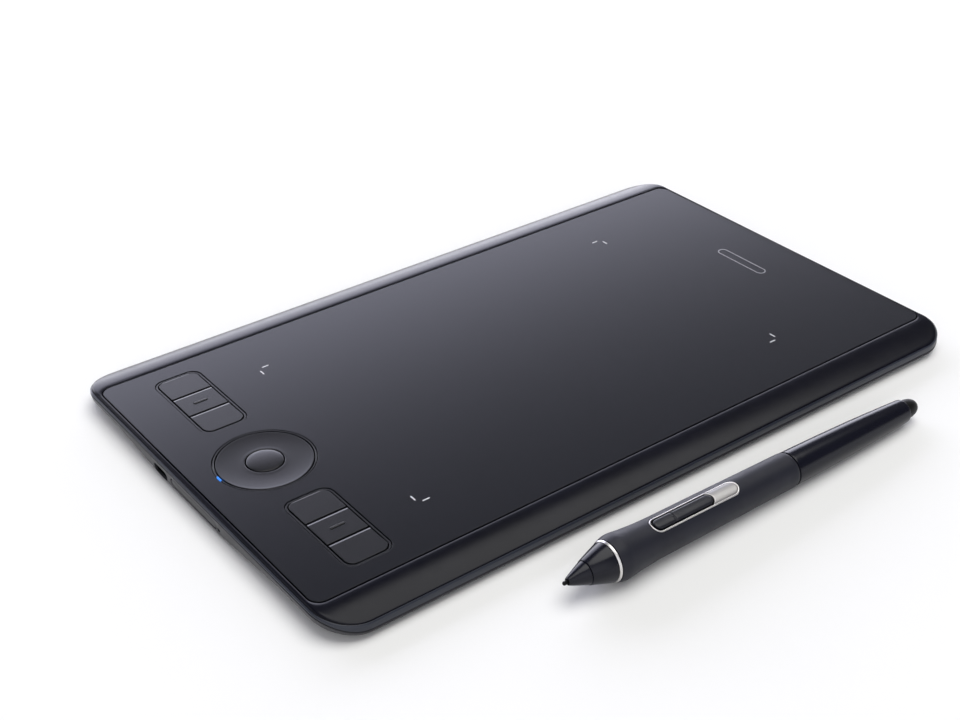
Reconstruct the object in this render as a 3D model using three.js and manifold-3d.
// Pen drawing tablet with its pen laid in front of it.
// Millimetres, +Z up. The tablet stands on its rubber feet at z = 0, its long side along X,
// keys at -X and the front edge at -Y. The origin is on the desk, under the middle of the
// box that holds tablet and pen.

import * as THREE from 'three';
import { mergeVertices } from 'three/addons/utils/BufferGeometryUtils.js';
import Module from 'manifold-3d';

const wasm = await Module();
wasm.setup();

// ---------- driving dimensions ----------

const TABLET_Y = 15;              // tablet centre behind the origin

const LENGTH = 269.5;
const DEPTH = 169.75;
const TOP = 8.45;                 // height of the drawing surface above the desk
const OUTER_R = 13.5;             // corner radius in plan

const SHEET_X = 132.2;            // half length of the surface sheet
const SHEET_Y = 71.45;            // half depth of the surface sheet
const SHEET_R = 4.0;
const SHEET_T = 0.8;
const SEAM = 0.4;                 // visible gap round the sheet

const ROLL_START = 71.5;          // where the top begins to roll down to the front and back
const ROLL_END = 84.6;

const COLUMN_X = -107.45;         // centre line of keys and touch ring
const GROUP_Y = 44.1;             // centre of a key group from the ring's centre
const GROUP_X2 = 8.7;             // half width of a key group's opening
const GROUP_Y2 = 19.9;            // half depth of a key group's opening
const GROUP_R = 4.2;
const KEYS_X2 = 7.5;              // half width of the keys
const KEYS_Y2 = 18.8;             // half depth of three keys
const KEY_PITCH = 12.7;
const KEY_GAP = 0.5;
const KEY_BOTTOM = 6.9;

const RING_HOLE_R = 17.15;
const TRIM_R = [16.3, 17.0];
const DISH_R = [6.6, 16.05];
const CENTRE_R = 6.1;
const LIGHT_LENGTH = 3.4;         // mode light, along the ring

const FLOOR_Z = 0.9;              // underside of the cover
const FLOOR_T = 1.0;
const SIDE_LOW = 4.4;             // lower edge of the side face away from the port
const PORT_LOW = 1.35;            // lower edge of the side face at the port

const PORT_Y = 21.6;
const PORT_Z = 3.45;
const POWER_Y = -1;
const POWER_Z = 3.95;
const POWER_HALF = [15, 1.2];     // half length and half height of the power button
const STATUS_Y = -17.6;
const STATUS_Z = 3.4;

const SCREW_AT = [112, 76.8];
const FOOT_AT = [90, 70];
const FOOT_HALF = [15, 3.5];

// Heights of the flat layers under the surface sheet, bottom and top of each.
const PLATE_Z = [7.0, 7.6];
const SENSOR_Z = [6.2, 6.9];
const SHIELD_Z = [5.8, 6.1];
const KEY_BOARD_Z = [5.6, 5.9];
const MAIN_BOARD_Z = [2.4, 3.2];
const BATTERY_Z = [2.0, 5.4];

const PEN_TIP = [-70.47, -92.583, 7.933];
const PEN_TURN = 0.577;           // degrees, to the left of the tablet's front edge
const PEN_DROP = 1.17;            // degrees, rear end lower than the flare
const SWITCH_ROLL = 14;           // degrees, side switch turned towards the front

const CLEAR = 0.15;               // running gap of small parts

// ---------- materials ----------

function paint(color, roughness, metalness = 0) {
  return new THREE.MeshStandardMaterial({ color, roughness, metalness });
}

const sheetBlack = paint(0x2b2c31, 0.55);
const frameBlack = paint(0x222329, 0.4);
const bandGrey = paint(0x4a4b50, 0.4, 0.8);
const coverGrey = paint(0x55555a, 0.5, 0.8);
const keyBlack = paint(0x2c2d32, 0.5);
const darkPlastic = paint(0x17181b, 0.5);
const lampBlue = paint(0x3aa0ff, 0.3);
const lampDark = paint(0x1b1c20, 0.3);
const rubberBlack = paint(0x141414, 0.9);
const boardGreen = paint(0x1d5a3a, 0.6);
const steel = paint(0xb5b5b8, 0.3, 1);
const foilSilver = paint(0xa8a8ac, 0.4, 1);
const batteryBlue = paint(0x33507a, 0.5);
const chipBlack = paint(0x1a1a1c, 0.6);
const copper = paint(0xb06a3a, 0.4, 1);
const gripRubber = paint(0x202127, 0.8);
const penGloss = paint(0x1a1b21, 0.25);
const bright = paint(0xd4d3d6, 0.2, 1);

// ---------- solids ----------

function toSolid(geometry) {
  const bare = geometry.clone();
  bare.deleteAttribute('normal');
  bare.deleteAttribute('uv');
  const merged = mergeVertices(bare, 1e-4);
  const triVerts = Uint32Array.from(merged.index.array);
  const vertProperties = Float32Array.from(merged.attributes.position.array);
  return new wasm.Manifold(new wasm.Mesh({ numProp: 3, vertProperties, triVerts }));
}

function toGeometry(solid) {
  const mesh = solid.getMesh();
  const geometry = new THREE.BufferGeometry();
  geometry.setAttribute('position', new THREE.BufferAttribute(mesh.vertProperties, 3));
  geometry.setIndex(new THREE.BufferAttribute(mesh.triVerts, 1));
  geometry.computeVertexNormals();
  return geometry;
}

function cut(geometry, ...tools) {
  const start = toSolid(geometry);
  return toGeometry(tools.reduce((rest, tool) => rest.subtract(toSolid(tool)), start));
}

function join(geometry, ...others) {
  const start = toSolid(geometry);
  return toGeometry(others.reduce((sum, other) => sum.add(toSolid(other)), start));
}

function common(first, second) {
  return toGeometry(toSolid(first).intersect(toSolid(second)));
}

function box(x0, x1, y0, y1, z0, z1) {
  const geometry = new THREE.BoxGeometry(x1 - x0, y1 - y0, z1 - z0);
  return geometry.translate((x0 + x1) / 2, (y0 + y1) / 2, (z0 + z1) / 2);
}

function roundedRect(halfX, halfY, radius, centre = [0, 0]) {
  const shape = new THREE.Shape();
  const [cx, cy] = centre;
  const corners = [[1, 1, 0], [-1, 1, 90], [-1, -1, 180], [1, -1, 270]];
  for (const [sx, sy, degrees] of corners) {
    const start = THREE.MathUtils.degToRad(degrees);
    const x = cx + sx * (halfX - radius);
    const y = cy + sy * (halfY - radius);
    shape.absarc(x, y, radius, start, start + Math.PI / 2, false);
  }
  return shape;
}

function circle(radius, centre = [0, 0]) {
  return roundedRect(radius, radius, radius, centre);
}

function slab(shape, z0, z1, curveSegments = 3) {
  const geometry = new THREE.ExtrudeGeometry(shape, {
    depth: z1 - z0,
    bevelEnabled: false,
    curveSegments,
  });
  return geometry.translate(0, 0, z0);
}

// A stadium that runs along Y and is extruded along X: an opening or button of the side face.
function sidePill(halfY, halfZ, centreY, centreZ, x0, x1) {
  const geometry = slab(roundedRect(halfY, halfZ, halfZ * 0.98), 0, x1 - x0);
  geometry.rotateX(Math.PI / 2);
  geometry.rotateZ(Math.PI / 2);
  return geometry.translate(x0, centreY, centreZ);
}

// A turned piece: profile is a list of [radius, height] that starts and ends on the axis
// or closes on itself, heights rising on the outside.
function turned(profile, segments = 40) {
  const points = profile.map(([r, h]) => new THREE.Vector2(r, h));
  return new THREE.LatheGeometry(points, segments).rotateX(Math.PI / 2);
}

function tube(rIn, rOut, z0, z1, segments = 40) {
  return turned([[rIn, z0], [rOut, z0], [rOut, z1], [rIn, z1], [rIn, z0]], segments);
}

function rod(radius, z0, z1, segments = 24) {
  const geometry = new THREE.CylinderGeometry(radius, radius, z1 - z0, segments);
  return geometry.rotateX(Math.PI / 2).translate(0, 0, (z0 + z1) / 2);
}

// ---------- lofted shells of the casing ----------

const CORNER_STEPS = 6;
const SIDE_STEPS = 16;
const FRONT_STEPS = 4;

// Points round a rounded rectangle; every ring has the same number of points in the same
// order, so that rings join into a skin. heightAt(x, y) gives each point its z.
function plan(halfX, halfY, radius) {
  const points = [];
  const corners = [[1, 1, 0], [-1, 1, 90], [-1, -1, 180], [1, -1, 270]];
  corners.forEach(([sx, sy, degrees], index) => {
    const cx = sx * (halfX - radius);
    const cy = sy * (halfY - radius);
    for (let step = 0; step <= CORNER_STEPS; step += 1) {
      const angle = THREE.MathUtils.degToRad(degrees + (90 * step) / CORNER_STEPS);
      points.push([cx + radius * Math.cos(angle), cy + radius * Math.sin(angle)]);
    }
    const steps = index % 2 === 0 ? FRONT_STEPS : SIDE_STEPS;
    const [x0, y0] = points.at(-1);
    const turn = index % 2 === 0 ? [-x0, y0] : [x0, -y0];
    for (let step = 1; step < steps; step += 1) {
      const t = step / steps;
      points.push([x0 + (turn[0] - x0) * t, y0 + (turn[1] - y0) * t]);
    }
  });
  return points;
}

function ring(halfX, halfY, radius, heightAt) {
  return plan(halfX, halfY, radius).map(([x, y]) => [x, y, heightAt(x, y)]);
}

// Skin over a list of rings: "looped" joins the last ring to the first, otherwise both ends
// are closed with a flat fan.
function loft(rings, looped) {
  const count = rings[0].length;
  const positions = rings.flat(2);
  const faces = [];
  const bands = looped ? rings.length : rings.length - 1;
  for (let row = 0; row < bands; row += 1) {
    const next = (row + 1) % rings.length;
    for (let i = 0; i < count; i += 1) {
      const j = (i + 1) % count;
      const a = row * count + i;
      const b = row * count + j;
      const c = next * count + j;
      const d = next * count + i;
      faces.push(a, b, c, a, c, d);
    }
  }
  if (!looped) {
    [0, rings.length - 1].forEach((row) => {
      const centre = positions.length / 3;
      positions.push(0, 0, rings[row][0][2]);
      for (let i = 0; i < count; i += 1) {
        const pair = [row * count + i, row * count + ((i + 1) % count)];
        faces.push(centre, ...(row === 0 ? pair.reverse() : pair));
      }
    });
  }
  const geometry = new THREE.BufferGeometry();
  geometry.setAttribute('position', new THREE.Float32BufferAttribute(positions, 3));
  geometry.setIndex(faces);
  return geometry;
}

// 0 on the flat top, 1 where the front and back edges end.
function roll(y) {
  const t = Math.max(0, (Math.abs(y) - ROLL_START) / (ROLL_END - ROLL_START));
  return t * t;
}

const HALF_X = LENGTH / 2;
const HALF_Y = DEPTH / 2;

function topFrame() {
  const openX = SHEET_X + SEAM;
  const openY = SHEET_Y + SEAM;
  const openR = SHEET_R + SEAM;
  const edge = [HALF_X - 0.9, HALF_Y - 0.55, OUTER_R - 0.8];
  const under = (drop, fall) => (x, y) => TOP - drop - fall * roll(y);
  const between = (t) => {
    const mix = (a, b) => a + (b - a) * t;
    return [mix(openX, edge[0]), mix(openY, edge[1]), mix(openR, edge[2])];
  };
  const ledge = [openX - 1.8, openY - 1.8, openR - 0.5];
  const rings = [
    ring(openX, openY, openR, under(0, 2.25)),
    ring(...between(0.35), under(0.04, 2.25)),
    ring(...between(0.65), under(0.15, 2.25)),
    ring(...between(0.88), under(0.4, 2.25)),
    ring(...edge, under(0.75, 2.35)),
    ring(edge[0] - 0.9, edge[1] - 0.9, edge[2] - 0.6, under(1.5, 2.3)),
    ring(...ledge, under(1.5, 0)),
    ring(...ledge, under(SHEET_T + 0.05, 0)),
    ring(openX, openY, openR, under(SHEET_T + 0.05, 0)),
  ];
  const bosses = [];
  const bores = [];
  forCorners(SCREW_AT, (x, y) => {
    bosses.push(rod(2.5, 2.4, 6.6, 16).translate(x, y, 0));
    bores.push(rod(1.1, 2.0, 6.0, 12).translate(x, y, 0));
  });
  return cut(join(loft(rings.reverse(), true), ...bosses), ...bores);
}

function sideBand() {
  const at = (drop, fall) => (x, y) => TOP - drop - fall * roll(y);
  return loft([
    ring(HALF_X - 0.75, HALF_Y - 0.5, OUTER_R - 0.6, at(0.92, 2.8)),
    ring(HALF_X - 0.6, HALF_Y - 0.35, OUTER_R - 0.5, at(0.85, 2.8)),
    ring(HALF_X - 0.05, HALF_Y - 0.03, OUTER_R, at(1.6, 3.85)),
    ring(HALF_X - 1.5, HALF_Y - 1.5, OUTER_R - 1.2, at(1.6, 3.85)),
  ].reverse(), true);
}

// How far the side face reaches down at the port: 1 at the port, 0 away from it.
function portDepth(y) {
  const rise = Math.max(0, (y - 22.5) * 0.1, (-17 - y) * 0.083);
  return Math.max(0, 1 - rise / (SIDE_LOW - PORT_LOW));
}

function bottomCover() {
  const onPortSide = (x) => x < -HALF_X + 20;
  const depth = (x, y) => (onPortSide(x) ? portDepth(y) : 0);
  const rim = (x, y) => TOP - 1.8 - 3.85 * roll(y);
  const sideLow = (x, y) => SIDE_LOW - (SIDE_LOW - PORT_LOW) * depth(x, y) - 2.5 * roll(y);
  const floorRing = (inset, z) => {
    const points = ring(126.5 - inset, 81 - inset, 10 - inset, () => z);
    return points.map(([x, y, h]) => [x - (onPortSide(x) ? 7 * depth(x, y) : 0), y, h]);
  };
  const outside = [
    floorRing(0, FLOOR_Z),
    ring(HALF_X - 0.4, HALF_Y - 0.25, OUTER_R - 0.2, sideLow),
    ring(HALF_X, HALF_Y, OUTER_R, rim),
    ring(HALF_X - 1.4, HALF_Y - 1.4, OUTER_R - 1.2, rim),
    floorRing(1.2, FLOOR_Z + FLOOR_T),
  ];
  const pill = (halfY, halfZ, y, z, x1) => sidePill(halfY, halfZ, y, z, -HALF_X - 1, x1);
  const openings = [
    pill(4.65, 1.8, PORT_Y, PORT_Z, -126),
    pill(POWER_HALF[0] + CLEAR, POWER_HALF[1] + CLEAR, POWER_Y, POWER_Z, -130),
    pill(0.5, 0.5, STATUS_Y, STATUS_Z, -130),
  ];
  forCorners(SCREW_AT, (x, y) => {
    openings.push(rod(2.2, 0, 1.5, 16).translate(x, y, 0));
    openings.push(rod(1.1, 0, 3, 12).translate(x, y, 0));
  });
  return cut(loft(outside, false), ...openings);
}

function forCorners([x, y], place) {
  for (const sx of [-1, 1]) {
    for (const sy of [-1, 1]) place(sx * x, sy * y);
  }
}

// ---------- surface and controls ----------

function groupHole(side) {
  return roundedRect(GROUP_X2, GROUP_Y2, GROUP_R, [COLUMN_X, side * GROUP_Y]);
}

function surfaceSheet() {
  const shape = roundedRect(SHEET_X, SHEET_Y, SHEET_R);
  shape.holes.push(groupHole(1), groupHole(-1), circle(RING_HOLE_R, [COLUMN_X, 0]));
  return slab(shape, TOP - SHEET_T, TOP, 5);
}

function supportPlate() {
  const shape = roundedRect(SHEET_X - 1.7, SHEET_Y - 1.7, SHEET_R - 1);
  shape.holes.push(groupHole(1), groupHole(-1), circle(RING_HOLE_R, [COLUMN_X, 0]));
  return slab(shape, ...PLATE_Z, 5);
}

function keySurround(side) {
  const centre = [COLUMN_X, side * GROUP_Y];
  const outer = [GROUP_X2 - CLEAR, GROUP_Y2 - CLEAR, GROUP_R - CLEAR, centre];
  const inner = [KEYS_X2 + CLEAR, KEYS_Y2 + CLEAR, GROUP_R - 1.1, centre];
  const shape = roundedRect(...outer);
  shape.holes.push(roundedRect(...inner));
  return slab(shape, KEY_BOTTOM, TOP - 0.2);
}

// index -1, 0, 1: rear, middle and front key of a group.
function key(side, index) {
  const centreY = side * GROUP_Y;
  const block = slab(roundedRect(KEYS_X2, KEYS_Y2, 3, [COLUMN_X, centreY]), KEY_BOTTOM, TOP);
  const middle = KEY_PITCH / 2 - KEY_GAP / 2;
  const reach = KEYS_Y2 + 1;
  const spans = { '-1': [middle + KEY_GAP, reach], 0: [-middle, middle], 1: [-reach, -middle - KEY_GAP] };
  const [low, high] = spans[index].map((y) => y + centreY);
  const x0 = COLUMN_X - KEYS_X2 - 1;
  const x1 = COLUMN_X + KEYS_X2 + 1;
  const part = common(block, box(x0, x1, low, high, KEY_BOTTOM - 1, TOP + 1));
  if (index !== 0) return part;
  const bar = roundedRect(2.6, 0.35, 0.3, [COLUMN_X, centreY]);
  return join(part, slab(bar, TOP - 0.5, TOP + 0.2, 3));
}

function touchRing() {
  const [inner, outer] = DISH_R;
  const profile = [
    [inner, KEY_BOTTOM],
    [outer, KEY_BOTTOM],
    [outer, TOP - 0.25],
    [outer - 0.3, TOP - 0.16],
    [13.8, TOP - 0.28],
    [11.4, TOP - 0.37],
    [8.8, TOP - 0.42],
    [inner + 0.3, TOP - 0.41],
    [inner, TOP - 0.52],
    [inner, KEY_BOTTOM],
  ];
  return turned(profile).translate(COLUMN_X, 0, 0);
}

function lightSlot(index, grow) {
  const half = LIGHT_LENGTH / 2 + grow;
  const slot = box(TRIM_R[0] - 0.4, TRIM_R[1] + 0.4, -half, half, 7.3 - grow, TOP + 1);
  return slot.rotateZ((index * Math.PI) / 2);
}

function ringTrim() {
  const whole = tube(TRIM_R[0], TRIM_R[1], KEY_BOTTOM, TOP - 0.05);
  const slots = [0, 1, 2, 3].map((index) => lightSlot(index, 0.1));
  return cut(whole, ...slots).translate(COLUMN_X, 0, 0);
}

function modeLight(index) {
  const band = tube(TRIM_R[0] + 0.02, TRIM_R[1] - 0.02, 7.3, TOP - 0.05);
  return common(band, lightSlot(index, 0)).translate(COLUMN_X, 0, 0);
}

function centreButton() {
  const profile = [
    [0, KEY_BOTTOM],
    [CENTRE_R, KEY_BOTTOM],
    [CENTRE_R, TOP - 0.45],
    [CENTRE_R - 0.3, TOP - 0.25],
    [CENTRE_R * 0.6, TOP - 0.09],
    [0, TOP],
  ];
  return turned(profile, 32).translate(COLUMN_X, 0, 0);
}

function snapDome(y) {
  const profile = [[0, 5.95], [2.4, 5.95], [2.3, 6.1], [1.5, 6.3], [0, 6.38]];
  return turned(profile, 16).translate(COLUMN_X, y, 0);
}

// ---------- side parts and inner parts ----------

function usbSocket() {
  const shell = sidePill(4.47, 1.6, PORT_Y, PORT_Z, -133.9, -126.6);
  const mouth = sidePill(4.15, 1.28, PORT_Y, PORT_Z, -135, -127.4);
  const tongue = box(-132.6, -127.2, PORT_Y - 3.3, PORT_Y + 3.3, PORT_Z - 0.35, PORT_Z + 0.35);
  return join(cut(shell, mouth), tongue);
}

function mainBoard() {
  const shape = new THREE.Shape();
  const outline = [
    [-64, 34], [-122, 34], [-122, 27], [-126.3, 27], [-126.3, 16.2],
    [-131.2, 16.2], [-131.2, -16], [-122, -16], [-122, -38], [-64, -38],
  ];
  outline.forEach(([x, y], index) => (index === 0 ? shape.moveTo(x, y) : shape.lineTo(x, y)));
  shape.closePath();
  return slab(shape, ...MAIN_BOARD_Z);
}

function rubberFoot(x, y) {
  return slab(roundedRect(...FOOT_HALF, 3.4), 0, FLOOR_Z - 0.02).translate(x, y, 0);
}

function coverScrew(x, y) {
  const profile = [[0, 0.95], [1.9, 0.95], [1.9, 1.4], [0.8, 1.4], [0.8, 5.7], [0, 5.7]];
  return turned(profile, 16).translate(x, y, 0);
}

// ---------- pen: turned round X, from the nib's tip at 0 to the eraser's end ----------

const PEN_SEGMENTS = 24;

const GRIP_PROFILE = [
  [6.88, 17.5], [7.42, 19.9], [7.5, 20.9], [7.4, 22.3], [6.98, 26.2], [6.6, 32.3],
  [6.43, 40.4], [6.38, 50.5], [6.3, 60.5], [6.13, 80.7], [6.02, 93.7], [5.7, 94.6],
];

const BARREL_PROFILE = [
  [5.86, 94.9], [5.84, 101], [5.66, 111], [5.43, 121], [5.1, 131.2],
  [4.68, 141.3], [4.26, 149.9], [3.95, 151.7],
];

function alongPen(profile, segments = PEN_SEGMENTS) {
  const points = profile.map(([r, s]) => new THREE.Vector2(r, s));
  return new THREE.LatheGeometry(points, segments).rotateZ(-Math.PI / 2);
}

// A hollow turned piece: outer profile, then the bore back to the start.
function hollow(outer, bore) {
  const back = [...bore].reverse();
  return alongPen([...outer, ...back, outer[0]]);
}

function penPill(s0, s1, halfWidth, low, high) {
  const shape = roundedRect((s1 - s0) / 2, halfWidth, halfWidth * 0.98);
  const geometry = slab(shape, low, high, 4).translate((s0 + s1) / 2, 0, 0);
  return geometry.rotateX(THREE.MathUtils.degToRad(SWITCH_ROLL));
}

// The grip's outside, raised by "proud", as a solid turned body.
function gripEnvelope(proud) {
  const raised = GRIP_PROFILE.map(([r, s]) => [r + proud, s]);
  return alongPen([[0, 17.5], ...raised, [0, 94.6]]);
}

const BEZEL = { s0: 33.1, s1: 69.5, half: 2.9 };
const ROCKER = { s0: 34.4, s1: 58.2, half: 1.85 };

function penGrip() {
  const sleeve = hollow(GRIP_PROFILE, [[4.9, 17.5], [4.9, 94.6]]);
  return cut(sleeve, penPill(BEZEL.s0 - CLEAR, BEZEL.s1 + CLEAR, BEZEL.half + CLEAR, 3, 9));
}

function switchBezel() {
  const plate = common(penPill(BEZEL.s0, BEZEL.s1, BEZEL.half, 5.05, 9), gripEnvelope(0.05));
  const gap = 0.22;
  return cut(plate, penPill(ROCKER.s0 - gap, ROCKER.s1 + gap, ROCKER.half + gap, 3, 9));
}

function sideSwitch() {
  return common(penPill(ROCKER.s0, ROCKER.s1, ROCKER.half, 5.1, 9), gripEnvelope(0.4));
}

function innerTube() {
  const whole = hollow([[4.6, 17.6], [4.6, 104]], [[3.45, 17.6], [3.45, 104]]);
  return cut(whole, box(36, 56, -1.6, 1.6, 2, 6).rotateX(THREE.MathUtils.degToRad(SWITCH_ROLL)));
}

function penPieces() {
  return {
    pen_nib: [darkPlastic, alongPen([
      [0, 0], [0.4, 0.08], [0.68, 0.45], [0.68, 0.9], [0.55, 1.3],
      [0.55, 6], [0.8, 6.4], [0.8, 20.2], [0, 20.2],
    ], 16)],
    pen_tip_cone: [penGloss, hollow(
      [[1.2, 1.75], [1.75, 3.0], [3.72, 8.35]],
      [[1.0, 1.75], [1.1, 8.35]],
    )],
    pen_cone_collar: [penGloss, hollow(
      [[3.95, 8.6], [6.5, 16.35]],
      [[3.3, 8.6], [3.3, 16.35]],
    )],
    pen_ring: [bright, hollow(
      [[6.56, 16.5], [6.84, 17.35]],
      [[4.9, 16.5], [4.9, 17.35]],
    )],
    pen_grip: [gripRubber, penGrip()],
    pen_switch_bezel: [bright, switchBezel()],
    pen_side_switch: [darkPlastic, sideSwitch()],
    pen_inner_tube: [darkPlastic, innerTube()],
    pen_circuit_board: [boardGreen, box(30, 96, -2.7, 2.7, -0.4, 0.4)],
    pen_coil: [copper, hollow([[3.0, 9.3], [3.0, 19.8]], [[1.15, 9.3], [1.15, 19.8]])],
    pen_pressure_sensor: [steel, alongPen([[0, 21.4], [3.0, 21.4], [3.0, 28], [0, 28]])],
    pen_rear_barrel: [penGloss, hollow(
      BARREL_PROFILE,
      [[4.9, 94.9], [4.9, 104.6], [4.2, 105.5], [4.2, 126], [3.65, 134], [3.65, 151.7]],
    )],
    pen_eraser_coil: [copper, hollow([[3.2, 134], [3.2, 144]], [[1.5, 134], [1.5, 144]])],
    pen_eraser: [darkPlastic, alongPen([
      [0, 146.4], [3.4, 146.4], [3.4, 153.6], [3.15, 155.4], [2.5, 157.2], [1.4, 158.5], [0, 158.9],
    ])],
  };
}

// ---------- assembly ----------

const model = new THREE.Group();
const tablet = new THREE.Group();
const pen = new THREE.Group();
tablet.position.set(0, TABLET_Y, 0);
pen.position.set(...PEN_TIP);
const toRadians = THREE.MathUtils.degToRad;
pen.rotation.set(0, toRadians(PEN_DROP), toRadians(PEN_TURN), 'ZYX');
model.add(tablet, pen);

function put(parent, name, material, geometry) {
  const mesh = new THREE.Mesh(geometry, material);
  mesh.name = name;
  parent.add(mesh);
}

put(tablet, 'bottom_cover', coverGrey, bottomCover());
put(tablet, 'side_band', bandGrey, sideBand());
put(tablet, 'top_frame', frameBlack, topFrame());
put(tablet, 'surface_sheet', sheetBlack, surfaceSheet());
put(tablet, 'support_plate', darkPlastic, supportPlate());
put(tablet, 'rear_key_surround', darkPlastic, keySurround(1));
put(tablet, 'front_key_surround', darkPlastic, keySurround(-1));

[1, -1].forEach((side, group) => {
  [-1, 0, 1].forEach((index) => {
    const number = group * 3 + index + 2;
    put(tablet, `key_${number}`, keyBlack, key(side, index));
    put(tablet, `key_dome_${number}`, steel, snapDome(side * GROUP_Y - index * KEY_PITCH));
  });
});

put(tablet, 'touch_ring', keyBlack, touchRing());
put(tablet, 'ring_trim', darkPlastic, ringTrim());
put(tablet, 'centre_button', keyBlack, centreButton());
put(tablet, 'centre_dome', steel, snapDome(0));
[0, 1, 2, 3].forEach((index) => {
  put(tablet, `mode_light_${index + 1}`, index === 2 ? lampBlue : lampDark, modeLight(index));
});

const powerPill = sidePill(...POWER_HALF, POWER_Y, POWER_Z, -HALF_X + 0.25, -132.2);
put(tablet, 'power_button', coverGrey, powerPill);
put(tablet, 'power_switch', chipBlack, box(-131.4, -128.5, POWER_Y - 3, POWER_Y + 3, 3.3, 5.1));
const lightPipe = sidePill(0.36, 0.36, STATUS_Y, STATUS_Z, -HALF_X + 0.3, -131);
put(tablet, 'status_light', lampDark, lightPipe);

put(tablet, 'usb_socket', steel, usbSocket());
put(tablet, 'main_board', boardGreen, mainBoard());
put(tablet, 'processor_chip', chipBlack, box(-106, -94, -12, 0, 3.25, 4.3));
put(tablet, 'radio_module', foilSilver, box(-86, -70, 12, 30, 3.25, 5.2));
const keyBoard = slab(roundedRect(13, 63, 2, [COLUMN_X, 0]), ...KEY_BOARD_Z, 1);
put(tablet, 'key_board', boardGreen, keyBoard);
put(tablet, 'sensor_board', boardGreen, box(-88, 129, -68, 68, ...SENSOR_Z));
put(tablet, 'shield_plate', foilSilver, box(-87.5, 128.5, -67.5, 67.5, ...SHIELD_Z));
put(tablet, 'battery', batteryBlue, box(-50, 20, -26, 26, ...BATTERY_Z));

let corner = 0;
forCorners([1, 1], (sx, sy) => {
  corner += 1;
  put(tablet, `foot_${corner}`, rubberBlack, rubberFoot(sx * FOOT_AT[0], sy * FOOT_AT[1]));
  put(tablet, `cover_screw_${corner}`, steel, coverScrew(sx * SCREW_AT[0], sy * SCREW_AT[1]));
});

for (const [name, [material, geometry]] of Object.entries(penPieces())) {
  put(pen, name, material, geometry);
}

export default model;
